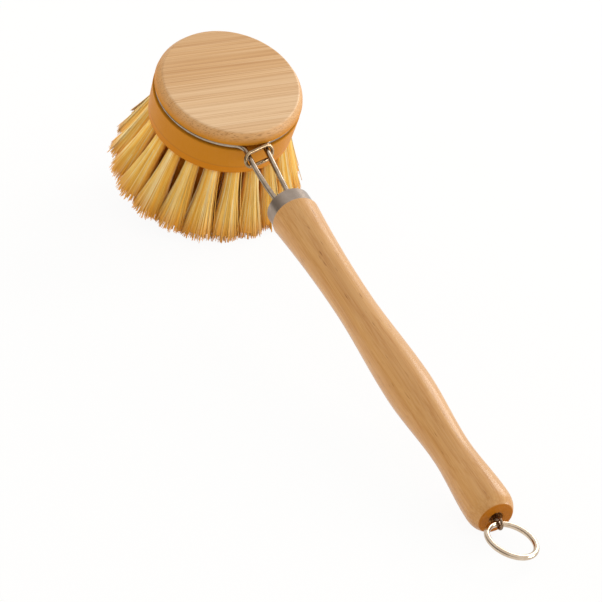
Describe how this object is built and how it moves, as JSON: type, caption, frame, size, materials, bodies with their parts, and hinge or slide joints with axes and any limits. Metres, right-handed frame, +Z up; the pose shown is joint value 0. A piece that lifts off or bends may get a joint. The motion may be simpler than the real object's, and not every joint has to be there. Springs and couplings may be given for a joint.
{
  "type": "dish brush",
  "caption": "Dish brush with a turned wooden handle, a round bamboo head of plant-fibre tufts held in a wire loop, a sliding lock ring and a hang ring.",
  "frame": {"origin": "bottom centre of the box round the brush as it lies on a table, on its rear tuft tips and its tail bulb", "axes": "+X along the brush to the tail of the handle, +Z up from the table"},
  "size_m": [0.2492, 0.0642, 0.0588],
  "materials": {
    "handle_wood": "satin varnish over fine straight grain",
    "bamboo": "sanded bamboo with fine strips",
    "plant_fibre": "dry straw-coloured plant fibre",
    "matt_steel": "matt drawn steel",
    "spring_steel": "bright drawn wire",
    "anchor_steel": "flat wire",
    "polished_steel": "polished"
  },
  "bodies": {
    "handle": {"handle": "handle_wood", "ferrule": "matt_steel", "head_wire": "spring_steel", "screw_eye": "spring_steel"},
    "head": {"head_block": "bamboo", "tuft_staples": "anchor_steel", "tuft_centre": "plant_fibre", "tuft_inner_01": "plant_fibre", "tuft_inner_02": "plant_fibre", "tuft_inner_03": "plant_fibre", "tuft_inner_04": "plant_fibre", "tuft_inner_05": "plant_fibre", "tuft_inner_06": "plant_fibre", "tuft_inner_07": "plant_fibre", "tuft_middle_01": "plant_fibre", "tuft_middle_02": "plant_fibre", "tuft_middle_03": "plant_fibre", "tuft_middle_04": "plant_fibre", "tuft_middle_05": "plant_fibre", "tuft_middle_06": "plant_fibre", "tuft_middle_07": "plant_fibre", "tuft_middle_08": "plant_fibre", "tuft_middle_09": "plant_fibre", "tuft_middle_10": "plant_fibre", "tuft_middle_11": "plant_fibre", "tuft_middle_12": "plant_fibre", "tuft_middle_13": "plant_fibre", "tuft_middle_14": "plant_fibre", "tuft_outer_01": "plant_fibre", "tuft_outer_02": "plant_fibre", "tuft_outer_03": "plant_fibre", "tuft_outer_04": "plant_fibre", "tuft_outer_05": "plant_fibre", "tuft_outer_06": "plant_fibre", "tuft_outer_07": "plant_fibre", "tuft_outer_08": "plant_fibre", "tuft_outer_09": "plant_fibre", "tuft_outer_10": "plant_fibre", "tuft_outer_11": "plant_fibre", "tuft_outer_12": "plant_fibre", "tuft_outer_13": "plant_fibre", "tuft_outer_14": "plant_fibre", "tuft_outer_15": "plant_fibre", "tuft_outer_16": "plant_fibre", "tuft_outer_17": "plant_fibre", "tuft_outer_18": "plant_fibre", "tuft_outer_19": "plant_fibre", "tuft_outer_20": "plant_fibre"},
    "lock_ring": {"lock_ring": "spring_steel"},
    "hang_ring": {"hang_ring": "polished_steel"}
  },
  "joints": [
    {"name": "head_turn", "type": "hinge", "parent": "handle", "child": "head", "pos_m": [-0.08117, 0, 0.04685], "axis": [0.355, 0, 0.9349], "continuous": true},
    {"name": "lock_slide", "type": "slide", "parent": "handle", "child": "lock_ring", "axis": [0.9598, 0, -0.2806], "range_m": [0, 0.02]},
    {"name": "ring_swing", "type": "hinge", "parent": "handle", "child": "hang_ring", "pos_m": [0.10956, 0, 0.00567], "axis": [-0.021, 0.9774, -0.2103], "range_deg": [-105, 105]}
  ]
}
